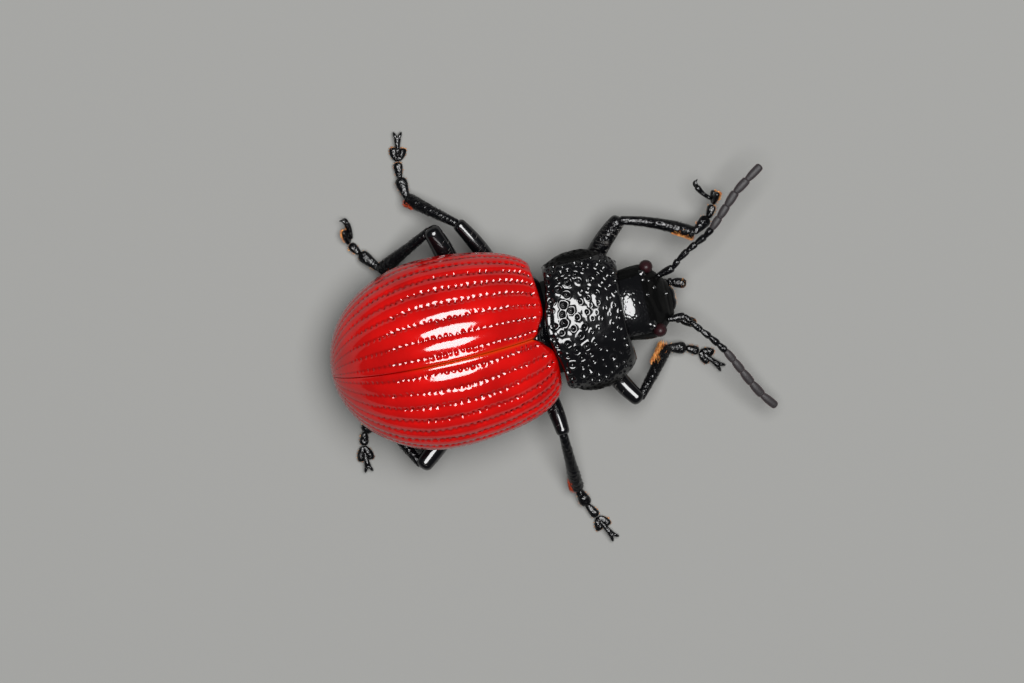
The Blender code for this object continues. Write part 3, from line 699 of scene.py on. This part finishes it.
# Clear lens cuticle over wine-brown pigment: a satin bead with a soft edge to its shine
lens = new_finish("faceted_lens_cuticle", "#240a0e", Roughness=0.5, Specular_IOR_Level=0.15,
                  Coat_Weight=0.15, Coat_Roughness=0.3)
place = add_node(lens, "ShaderNodeTexCoord").outputs["Object"]
facets = add_node(lens, "ShaderNodeTexVoronoi", {
    "Vector": place, "Scale": 1 / (FACET * MM), "Randomness": 0.35})
facet_tint = add_node(lens, "ShaderNodeValToRGB", {"Fac": facets.outputs["Distance"]})
facet_tint.color_ramp.elements[0].color = colour("#280a10")
facet_tint.color_ramp.elements[1].position = 0.75
facet_tint.color_ramp.elements[1].color = colour("#100405")
wear(lens, "Base Color", facet_tint.outputs["Color"])
facet_bump = add_node(lens, "ShaderNodeBump", {
    "Height": facets.outputs["Distance"], "Strength": 0.5, "Distance": 0.01 * MM}, invert=True)
wear(lens, "Normal", facet_bump.outputs["Normal"])

for side_name, side in (("left", 1), ("right", -1)):
    x, y, z = EYE
    bead = bmesh.new()
    bmesh.ops.create_icosphere(bead, subdivisions=5, radius=1)
    bmesh.ops.scale(bead, vec=EYE_RADII, verts=bead.verts)
    bmesh.ops.translate(bead, vec=on_head(x, side * y, z), verts=bead.verts)
    eye = set_down(bead, f"eye_bead_{side_name}", lens)
    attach(eye, "root")
    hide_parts(f"eye_{side_name}")


# Mouth: an upper lip with an orange fringe, two short biting jaws below it and a pair of
# jointed palps with blunt tips, all small and black
LIP_RADII = Vector((0.28, 0.54, 0.28))
JAW_PLACES = ((4.95, 0.3, 1.5), (5.1, 0.31, 1.46), (5.26, 0.24, 1.43), (5.38, 0.12, 1.42))
JAW_WIDTHS = (0.3, 0.32, 0.22, 0.07)
PALP_X, PALP_Z = 4.98, 1.6
PALPS = {                   # place across, and how far and which way it reaches
    "left": (0.81, Vector((0.92, -0.3, 0))),
    "right": (-0.72, Vector((0.95, -0.48, 0))),
}
PALP_JOINTS = ((0.0, 0.26, 0.24), (0.2, 0.5, 0.34), (0.42, 1.08, 0.42))  # start, end and width
TONE_PATCH = 1 / 6          # size of the lighter and darker stretches of a brush
WRINKLE = 1 / 7             # pitch of the wrinkles, drawn coarse enough to show
lip_centre = on_head(5.14, 0, 2.0)


def drawn_out(points, widths, flat=1.0, up=Vector((0, 0, 1)), start=1.0, end=1.0):
    """A function that lays a ball's points on a bar with rounded ends along a curve."""
    length = sum((there - here).length for here, there in zip(points, points[1:]))
    sizes = [Vector((width,) * 2) for width in widths]

    def reshape(along, turn):
        centre = along_curve(points, along)
        ahead = (along_curve(points, along + 0.02) - along_curve(points, along - 0.02)).normalized()
        across = up.cross(ahead).normalized()
        rise = ahead.cross(across)
        half = along_curve(sizes, along).x / 2
        ends = ((along * length, start * widths[0] / 2), ((1 - along) * length, end * widths[-1] / 2))
        for gone, depth in ends:
            if gone < depth:
                half *= sqrt(max(0, 1 - (1 - gone / depth) ** 2))
        return centre + across * (half * cos(turn)) + rise * (half * flat * sin(turn))
    return reshape


def add_shape(bm, part, slot=0):
    """Add a finished shape to a piece, in one of its materials."""
    for face in part.faces:
        face.material_index = slot
    held = bpy.data.meshes.new("held")
    part.to_mesh(held)
    part.free()
    bm.from_mesh(held)
    bpy.data.meshes.remove(held)


def bristle(bm, root, way, length, width, patch):
    """A fine tapered bristle, with its own small patch on the baking map."""
    way = way.normalized()
    turned = way.to_track_quat("Z", "Y").to_matrix().to_4x4()
    spot = Matrix.Translation(root + way * (length * 0.42)) @ turned
    made = bmesh.ops.create_cone(bm, cap_ends=True, segments=3, radius1=width / 2, radius2=width / 12,
                                 depth=length, matrix=spot)["verts"]
    layer = bm.loops.layers.uv.verify()
    for i, vertex in enumerate(made):
        for loop in vertex.link_loops:
            loop[layer].uv = (patch[0] + 0.0015 * cos(i), patch[1] + 0.0015 * sin(i))


def set_down_bristles(bm, name, material):
    """Set down bristles, whose map is the one that colours are baked on."""
    piece = set_down(bm, name, material)
    piece.data.uv_layers[0].name = "OFBake"
    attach(piece, "root")


def skin_spot(skin, along, turn):
    """A place on a bar's skin, and the way straight out of it."""
    root = skin(along, turn)
    return root, (root - skin(along, turn + pi)).normalized()


# Stiff bristles of pale chitin: amber and slightly clear, dull along their length
orange_bristle = new_finish("amber_bristle", "#c9782c", Roughness=0.5, IOR=1.5,
                            Subsurface_Weight=0.1, Subsurface_Scale=0.1 * MM)
place = add_node(orange_bristle, "ShaderNodeTexCoord").outputs["Object"]
bristle_tone = add_node(orange_bristle, "ShaderNodeTexNoise", {
    "Vector": place, "Scale": 1 / (TONE_PATCH * MM)})
bristle_tint = add_node(orange_bristle, "ShaderNodeValToRGB", {"Fac": bristle_tone.outputs["Fac"]})
bristle_tint.color_ramp.elements[0].position = 0.35
bristle_tint.color_ramp.elements[0].color = colour("#a0521c")
bristle_tint.color_ramp.elements[1].position = 0.65
bristle_tint.color_ramp.elements[1].color = colour("#e39a4c")
wear(orange_bristle, "Base Color", bristle_tint.outputs["Color"])

# The black chitin of palps, inner feeler joints, shins, feet and the raised thigh, finely
# wrinkled between short hairs, so that the lamp's streak on it is broken into glints
wrinkled_chitin = new_finish("wrinkled_black_chitin", "#030304", Roughness=0.2,
                             Specular_IOR_Level=0.32, IOR=1.5)
place = add_node(wrinkled_chitin, "ShaderNodeTexCoord").outputs["Object"]
wrinkles = add_node(wrinkled_chitin, "ShaderNodeTexNoise", {
    "Vector": place, "Scale": 1 / (WRINKLE * MM), "Detail": 2})
wrinkle_bump = add_node(wrinkled_chitin, "ShaderNodeBump", {
    "Height": wrinkles.outputs["Fac"], "Strength": 0.8, "Distance": 0.08 * MM})
wear(wrinkled_chitin, "Normal", wrinkle_bump.outputs["Normal"])

rng = Random(5)
lip_shape = bmesh.new()
bmesh.ops.create_uvsphere(lip_shape, u_segments=48, v_segments=32, radius=1)
for vertex in lip_shape.verts:
    notch = 1 - 0.16 * exp(-(vertex.co.y / 0.25) ** 2) * max(0, vertex.co.x)
    vertex.co.x *= notch
    vertex.co.z *= 0.9
    vertex.co = lip_centre + Vector([a * b for a, b in zip(vertex.co, LIP_RADII)])
labrum = set_down(lip_shape, "upper_lip", black_chitin)
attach(labrum, "root")
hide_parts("labrum")

fringe = bmesh.new()
for i in range(30):
    turn = radians(-40 + 115 * (i + rng.uniform(-0.4, 0.4)) / 29)
    out = Vector((cos(turn), sin(turn), 0))
    root = lip_centre + Vector((out.x * LIP_RADII.x * 0.9, out.y * LIP_RADII.y * 0.9, 0))
    root.z += rng.uniform(-0.12, 0.02)
    way = Vector((0.8, out.y * 0.5 + rng.uniform(-0.2, 0.2), rng.uniform(-0.6, 0.1)))
    bristle(fringe, root, way, rng.uniform(0.06, 0.11), 0.012, (0.5 + 0.4 * sin(turn), 0.5))
set_down_bristles(fringe, "lip_fringe", orange_bristle)

for side_name, side in (("left", 1), ("right", -1)):
    jaw_points = [on_head(x, side * y, z) for x, y, z in JAW_PLACES]
    jaw = wrap(32, 24, drawn_out(jaw_points, JAW_WIDTHS, 0.9))
    mandible = set_down(jaw, f"jaw_{side_name}", black_chitin)
    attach(mandible, "root")
    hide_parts(f"mandible_{side_name}")

    across, reach = PALPS[side_name]
    root = on_head(PALP_X, across, PALP_Z)
    beads = bmesh.new()
    for start, end, width in PALP_JOINTS:
        line = [root + reach * (start + (end - start) * part) for part in (0, 0.33, 0.67, 1)]
        widths = [width * share for share in (0.65, 0.95, 1, 0.9)]
        skin = drawn_out(line, widths, 0.95)
        bead = wrap(48, 48, skin)
        pores = [(skin(rng.uniform(0.05, 0.95), rng.uniform(0, 2 * pi)), 0.03, 0.014)
                 for _ in range(60)]
        press_pits(bead, pores, hole=0, lip=0.1)
        add_shape(beads, bead)
    palp = set_down(beads, f"palp_beads_{side_name}", wrinkled_chitin)
    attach(palp, "root")
    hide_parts(f"palp_{side_name}")
    stubble = bmesh.new()
    for _ in range(40):
        along, turn = rng.uniform(0.6, 0.98), rng.uniform(0, 2 * pi)
        spot = skin(along, turn)
        way = spot - skin(along, turn + pi) + reach
        bristle(stubble, spot, way, rng.uniform(0.03, 0.06), 0.012, (along, turn / (2 * pi)))
    set_down_bristles(stubble, f"palp_stubble_{side_name}", orange_bristle)


# Feelers: eleven joints each. The first six are shining black beads on thin necks, and
# the last five are wider and dulled by a down of very short hairs.
ANTENNA_ROOT = (4.86, 0.95, 2.62)
INNER_JOINTS = 6
JOINT_TUCK = 0.03           # how far each joint starts inside the one before
JOINT_OVERLAP = 0.05        # how much longer each joint is drawn than its share
FEELER_LENGTHS = (0.72, 0.38, 0.56, 0.46, 0.48, 0.44, 0.55, 0.58, 0.67, 0.7, 0.8)
FEELER_WIDTHS = (0.34, 0.28, 0.28, 0.29, 0.3, 0.31, 0.34, 0.36, 0.38, 0.38, 0.36)
INNER_TAPER = (0.62, 0.84, 1, 0.94)
OUTER_TAPER = (0.68, 0.95, 1, 0.92)
DOWN_PITCH = 1 / 22         # spacing of the down, drawn coarse enough to show
FEELERS = {                 # heading of each joint in degrees, then root, middle and tip height
    "left": ((17, 46, 34, 28, 27, 37, 44, 45, 45, 34, 33), (2.44, 3.2, 2.75)),
    "right": ((-2, -58, -52, -51, -54, -56, -63, -65, -65, -62, -53), (2.8, 2.4, 1.35)),
}


def level_way(degrees):
    """The level way at an angle to the left of straight ahead."""
    return Vector((cos(radians(degrees)), sin(radians(degrees)), 0))


# Black chitin under a close down: no highlight, only a grey-brown bloom at the edges
downy_chitin = new_finish("downy_black_chitin", "#130f11", Roughness=0.62, IOR=1.5,
                          Sheen_Weight=0.5, Sheen_Roughness=0.4, Sheen_Tint=colour("#80686a"))
place = add_node(downy_chitin, "ShaderNodeTexCoord").outputs["Object"]
nap = add_node(downy_chitin, "ShaderNodeTexNoise", {
    "Vector": place, "Scale": 1 / (DOWN_PITCH * MM), "Detail": 2})
nap_bump = add_node(downy_chitin, "ShaderNodeBump", {
    "Height": nap.outputs["Fac"], "Strength": 0.8, "Distance": 0.02 * MM})
wear(downy_chitin, "Normal", nap_bump.outputs["Normal"])

for side_name, (headings, (root_z, middle_z, tip_z)) in FEELERS.items():
    side = 1 if side_name == "left" else -1
    x, y, z = ANTENNA_ROOT
    joint = on_head(x, side * y, z)
    whole = sum(FEELER_LENGTHS)
    gone = 0.0
    feeler = bmesh.new()
    for i, (length, angle) in enumerate(zip(FEELER_LENGTHS, headings)):
        line = []
        for part in (0, 0.33, 0.67, 1):
            far = (length + JOINT_OVERLAP) * part - JOINT_TUCK
            travel = max(0, gone + far) / whole
            spot = joint + level_way(angle) * far
            spot.z = root_z * (1 - travel) ** 2 + tip_z * travel ** 2
            spot.z += middle_z * 2 * travel * (1 - travel)
            line.append(spot)
        taper = INNER_TAPER if i < INNER_JOINTS else OUTER_TAPER
        widths = [FEELER_WIDTHS[i] * share for share in taper]
        tip = 0.8 if i < INNER_JOINTS or i == len(FEELER_LENGTHS) - 1 else 0.6
        bead = wrap(24, 20, drawn_out(line, widths, start=0.4, end=tip))
        add_shape(feeler, bead, i // INNER_JOINTS)
        joint = joint + level_way(angle) * length
        gone += length
    antenna = set_down(feeler, f"feeler_{side_name}", wrinkled_chitin, downy_chitin)
    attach(antenna, "root")
    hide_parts(f"antenna_{side_name}")


# Legs: hip knob and ring, thigh, shin and a foot of four joints with two hooked claws.
# Each is black chitin with bristles along it, amber soles and a brush on the shin, which is
# amber on the front legs and rust on the others.
Pair = namedtuple("Pair", "hip bow femur_width tibia_width toes")
PAIRS = {                   # toes: the length of each of the foot's joints
    "front": Pair(Vector((1.6, 0.95, 1.25)), -0.2, 0.8, 0.52, (0.9, 0.62, 0.5, 0.85)),
    "middle": Pair(Vector((-1.3, 1.2, 1.15)), 0.18, 0.7, 0.54, (0.95, 0.7, 0.5, 0.85)),
    "hind": Pair(Vector((-3.4, 1.1, 1.15)), 0.24, 0.92, 0.56, (1.15, 0.6, 0.58, 0.7)),
}
KNOB_RADII = (0.45, 0.5, 0.6)
RING_WIDTHS = (0.56, 0.58, 0.56, 0.5)
SHIN_BOW = 0.12
SHIN_BEND = 0.15            # how much further the raised shin is bowed to its own left
Leg = namedtuple("Leg", "knee ankle headings roll lift")
LEGS = {                    # headings and roll are the foot's, in degrees
    "front_left": Leg((3.78, 3.65, 2.1), (6.72, 2.38, 1.7), (32, 60, 66, 126), -70, 1.0),
    "front_right": Leg((3.01, -3.87, 2.15), (4.58, -2.23, 0.62), (-16, -30, -42, -50), 0, 0),
    "middle_left": Leg((-2.78, 4.92, 1.7), (-4.63, 6.3, 0.62), (97, 84, 74, 78), 0, 0),
    "middle_right": Leg((-0.43, -4.5, 2.5), (-0.34, -7.2, 0.62), (-73, -62, -72, -62), 0, 0),
    "hind_left": Leg((-3.96, 5.0, 2.2), (-6.35, 3.63, 0.62), (131, 124, 86, 95), 65, 0),
    "hind_right": Leg((-6.47, -4.63, 1.9), (-7.86, -2.1, 0.62), (-127, -107, -90, -90), 0, 0),
}
TOE_HEIGHTS = (0.3, 0.24, 0.15, 0.3)
TOE_WIDTHS = ((0.26, 0.38, 0.5, 0.5), (0.22, 0.32, 0.38, 0.36))
LOBE_WIDTHS = (0.22, 0.32, 0.34, 0.3)
CLAW_JOINT_WIDTHS = (0.18, 0.2, 0.27, 0.3)
CLAW_WIDTHS = (0.15, 0.14, 0.1, 0.03)
ROLL_LIFT = 0.25            # keeps the edge of a foot that rolls over above the floor
SOLE_BRISTLES = 180
SHIN_BRISTLES = 180
UP = Vector((0, 0, 1))


def foot_joints(leg, toes):
    """Start, end, way up and way ahead of each of the foot's four joints."""
    spot = Vector(leg.ankle)
    joints = []
    for i, (length, angle, share) in enumerate(zip(toes, leg.headings, (0, 0.35, 1, 1))):
        ahead = level_way(angle)
        roll = radians(leg.roll * share)
        up = UP * cos(roll) + ahead.cross(UP) * sin(roll)
        start = spot.copy()
        end = spot + ahead * length
        end.z = TOE_HEIGHTS[i] + leg.lift + abs(sin(roll)) * (ROLL_LIFT if i > 1 else 0)
        joints.append((start, end, up, ahead))
        spot = end
        if i == 2:
            spot = start + (end - start) * 0.35 + up * 0.16
    return joints


# Dark bristles of the legs: brown-black, thin enough that the lamp turns some pale
dark_bristle = new_finish("dark_bristle", "#100c0a", Roughness=0.25, Specular_IOR_Level=0.3)

# The bristles of the middle and hind shins: the same chitin as the amber ones, darker rust
rust_bristle = new_finish("rust_bristle", "#8c2c06", Roughness=0.5, Specular_IOR_Level=0.2)

# Fine hairs that lie across the thighs: glassy, their pale grey partly their own colour and partly a
# painted glint of the lamp
pale_hair_with_painted_glint = new_finish("pale_glassy_hair_painted_glint", "#77736f", Roughness=0.25, IOR=1.6)

# How many bristles a shin's brush has, its share of the shin, their length and their finish
BRUSHES = {
    "front_left": (300, 0.3, 0.1, orange_bristle),
    "front_right": (380, 0.4, 0.2, orange_bristle),
}
OTHER_BRUSH = (200, 0.2, 0.12, rust_bristle)
THIGH_HAIRS = {"front_left": 150}
OTHER_THIGH_HAIRS = 40


def map_spot(along, turn):
    """A bristle's place on the baking map, from where it stands on its bar."""
    return along, (turn / (2 * pi)) % 1


for name, leg in LEGS.items():
    rng = Random(name)
    pair_name, side_name = name.split("_")
    pair = PAIRS[pair_name]
    side = 1 if side_name == "left" else -1
    hip = Vector((pair.hip.x, side * pair.hip.y, pair.hip.z))
    knee, ankle = Vector(leg.knee), Vector(leg.ankle)
    ahead = (knee - hip).normalized()
    thorax = "prothorax" if pair_name == "front" else "hind_thorax"

    hips = bmesh.new()
    knob = bmesh.new()
    bmesh.ops.create_uvsphere(knob, u_segments=32, v_segments=20, radius=1)
    bmesh.ops.scale(knob, vec=KNOB_RADII, verts=knob.verts)
    bmesh.ops.translate(knob, vec=hip - ahead * 0.55 + UP * 0.3, verts=knob.verts)
    add_shape(hips, knob)
    ring = [hip + ahead * far for far in (-0.5, -0.3, -0.15, 0.03)]
    add_shape(hips, wrap(20, 24, drawn_out(ring, RING_WIDTHS)))
    hip_piece = set_down(hips, f"hip_{name}", black_chitin)
    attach(hip_piece, "root")
    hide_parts(thorax)

    thick = pair.femur_width
    thigh_widths = (0.42, thick * 0.85, thick, thick * 0.96, thick * 0.78)
    thigh_end = knee + ahead * 0.12
    bow = Vector((abs(ahead.y), -ahead.x * side, 0)).normalized() * pair.bow
    thigh_line = [hip + (thigh_end - hip) * share + bow * (4 * share * (1 - share))
                  for share in (0, 0.25, 0.5, 0.75, 1)]
    thigh_skin = drawn_out(thigh_line, thigh_widths)
    thigh_finish = wrinkled_chitin if name == "front_left" else black_chitin
    thigh = set_down(wrap(64, 36, thigh_skin), f"thigh_{name}", thigh_finish)
    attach(thigh, "root")
    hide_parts(f"femur_{name}")

    out = ankle - knee
    shin_bow = out.cross(UP).cross(out).normalized() * SHIN_BOW
    if name == "front_left":
        shin_bow -= out.cross(UP).normalized() * SHIN_BEND
    shin_line = [knee + out * share + shin_bow * (4 * share * (1 - share))
                 for share in (0, 0.25, 0.5, 0.75, 1)]
    shin_widths = (0.36, 0.41, 0.46, pair.tibia_width, pair.tibia_width * 1.06)
    shin_skin = drawn_out(shin_line, shin_widths, end=0.4)
    shin = set_down(wrap(64, 32, shin_skin), f"shin_{name}", wrinkled_chitin)
    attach(shin, "root")
    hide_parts(f"tibia_{name}")

    foot = bmesh.new()
    first, second, third, claw = foot_joints(leg, pair.toes)
    soles = []
    for (start, end, up, forward), widths, back in zip((first, second), TOE_WIDTHS, (0, 0.06)):
        line = [start - forward * back + (end - start) * share for share in (0, 0.33, 0.67, 0.95)]
        skin = drawn_out(line, widths, 0.75, up)
        add_shape(foot, wrap(32, 24, skin))
        soles.append((skin, up))
    start, end, up, forward = third
    across = up.cross(forward).normalized()
    for turn in (-1, 1):
        line = [start - forward * 0.04, start + (end - start) * 0.4 + across * (turn * 0.14),
                start + (end - start) * 0.75 + across * (turn * 0.19), end + across * (turn * 0.19)]
        skin = drawn_out(line, LOBE_WIDTHS, 0.7, up)
        add_shape(foot, wrap(28, 20, skin))
        soles.append((skin, up))
    start, end, up, forward = claw
    line = [start - forward * 0.05, start + (end - start) * 0.4 + up * 0.06,
            start + (end - start) * 0.75 + up * 0.04, start + (end - start) * 0.92]
    add_shape(foot, wrap(28, 20, drawn_out(line, CLAW_JOINT_WIDTHS, 0.9, up)))
    foot_piece = set_down(foot, f"foot_{name}", wrinkled_chitin)
    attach(foot_piece, "root")
    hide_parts(f"tarsus_{name}")

    hooks = bmesh.new()
    across = up.cross(forward).normalized()
    for turn in (-1, 1):
        root = start + (end - start) * 0.85 + across * (turn * 0.05)
        aside = across * turn
        line = [root,
                root + forward * 0.14 + aside * 0.06 - up * 0.01,
                root + forward * 0.23 + aside * 0.1 - up * 0.08,
                root + forward * 0.25 + aside * 0.12 - up * 0.2]
        add_shape(hooks, wrap(24, 12, drawn_out(line, CLAW_WIDTHS, 1, up)))
    claws = set_down(hooks, f"claws_{name}", black_chitin)
    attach(claws, "root")

    pads = bmesh.new()
    for skin, up in soles:
        forward = (skin(0.9, 0) - skin(0.5, 0)).normalized()
        for _ in range(SOLE_BRISTLES):
            along, turn = rng.uniform(0.2, 0.97), -pi / 2 + rng.gauss(0, 0.5)
            root = skin(along, turn)
            way = root - skin(along, turn + pi) + forward * 0.1 - up * 0.05
            length = rng.uniform(0.07, 0.12)
            if root.z - length < leg.lift * 0.5:
                way.z = max(way.z, -0.02)
            bristle(pads, root, way, length, 0.022, map_spot(along, turn))
    for vertex in pads.verts:
        vertex.co.z = max(vertex.co.z, 0.005)
    set_down_bristles(pads, f"soles_{name}", orange_bristle)

    brush = bmesh.new()
    rear = 0 if ahead.cross(out).z > 0 else pi
    count, reach, long, finish = BRUSHES.get(name, OTHER_BRUSH)
    for _ in range(count):
        along = 1 - reach * rng.random() ** 1.3
        turn = rear + rng.gauss(0, 0.5)
        root, outward = skin_spot(shin_skin, along, turn)
        way = outward + out.normalized() * 0.9
        bristle(brush, root, way, long * rng.uniform(0.6, 1.1), 0.024, map_spot(along, turn))
    set_down_bristles(brush, f"shin_brush_{name}", finish)

    hairs = bmesh.new()
    for _ in range(SHIN_BRISTLES):
        along, turn = rng.uniform(0.2, 0.96), rng.uniform(0, 2 * pi)
        root, outward = skin_spot(shin_skin, along, turn)
        way = outward * 0.45 + out.normalized()
        bristle(hairs, root, way, rng.uniform(0.08, 0.15), 0.016, map_spot(along, turn))
    set_down_bristles(hairs, f"bristles_{name}", dark_bristle)

    down = bmesh.new()
    for _ in range(THIGH_HAIRS.get(name, OTHER_THIGH_HAIRS)):
        along, turn = rng.uniform(0.3, 0.94), rng.uniform(0, 2 * pi)
        root, outward = skin_spot(thigh_skin, along, turn)
        round_about = (thigh_skin(along, turn + 0.3) - root).normalized()
        way = round_about + outward * 0.1 + ahead * 0.3
        bristle(down, root, way, rng.uniform(0.14, 0.24), 0.014, map_spot(along, turn))
    set_down_bristles(down, f"thigh_down_{name}", pale_hair_with_painted_glint)
